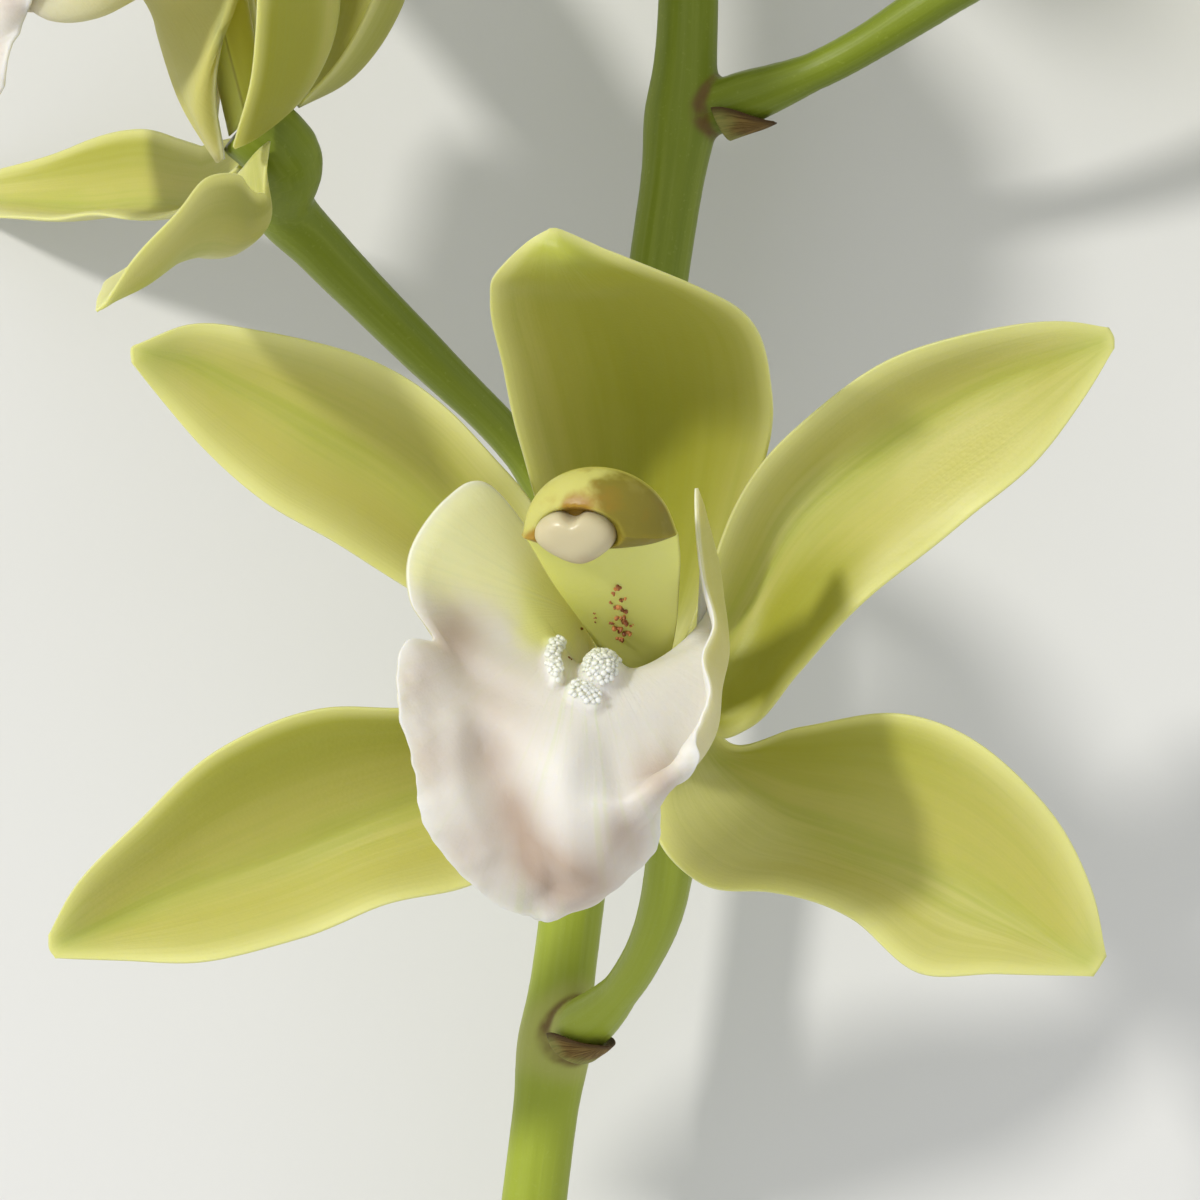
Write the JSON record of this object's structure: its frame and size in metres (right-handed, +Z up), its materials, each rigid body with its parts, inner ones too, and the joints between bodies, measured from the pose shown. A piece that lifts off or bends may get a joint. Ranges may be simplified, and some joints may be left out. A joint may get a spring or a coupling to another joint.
{
  "type": "cymbidium orchid stem",
  "caption": "Cut flowering stem of a green cymbidium orchid lying on its side, with open blooms with white lips along it and closed buds at its tip.",
  "frame": {"origin": "on the surface that the stem lies on, under the middle of its bounding box", "axes": "+Y along the stem from its cut end to its buds, +X to the right of the first bloom as it faces the viewer, +Z up, out of the face of the first bloom"},
  "size_m": [0.178, 0.4735, 0.1099],
  "materials": {
    "stem": "smooth waxy green",
    "tepal": "waxy yellow-green petal",
    "lip": "matt white petal",
    "column": "waxy yellow-green",
    "anther": "waxy cream",
    "bract": "dry papery brown"
  },
  "bodies": {
    "root": {"stem": "stem", "bloom_1_dorsal_sepal": "tepal", "bloom_1_lateral_sepal_left": "tepal", "bloom_1_lateral_sepal_right": "tepal", "bloom_1_petal_left": "tepal", "bloom_1_petal_right": "tepal", "bloom_1_lip": "lip", "bloom_1_column": "column", "bloom_1_anther_cap": "anther", "bloom_2_dorsal_sepal": "tepal", "bloom_2_lateral_sepal_left": "tepal", "bloom_2_lateral_sepal_right": "tepal", "bloom_2_petal_left": "tepal", "bloom_2_petal_right": "tepal", "bloom_2_lip": "lip", "bloom_2_column": "column", "bloom_2_anther_cap": "anther", "bloom_3_dorsal_sepal": "tepal", "bloom_3_lateral_sepal_left": "tepal", "bloom_3_lateral_sepal_right": "tepal", "bloom_3_petal_left": "tepal", "bloom_3_petal_right": "tepal", "bloom_3_lip": "lip", "bloom_3_column": "column", "bloom_3_anther_cap": "anther", "bloom_4_dorsal_sepal": "tepal", "bloom_4_lateral_sepal_left": "tepal", "bloom_4_lateral_sepal_right": "tepal", "bloom_4_petal_left": "tepal", "bloom_4_petal_right": "tepal", "bloom_4_lip": "lip", "bloom_4_column": "column", "bloom_4_anther_cap": "anther", "bloom_5_dorsal_sepal": "tepal", "bloom_5_lateral_sepal_left": "tepal", "bloom_5_lateral_sepal_right": "tepal", "bloom_5_petal_left": "tepal", "bloom_5_petal_right": "tepal", "bloom_5_lip": "lip", "bloom_5_column": "column", "bloom_5_anther_cap": "anther", "bud_1": "tepal", "bud_2": "tepal", "bract_1": "bract", "bract_2": "bract", "bract_3": "bract", "bract_4": "bract", "bract_5": "bract", "sheath_1": "bract", "sheath_2": "bract", "sheath_3": "bract"}
  },
  "joints": []
}
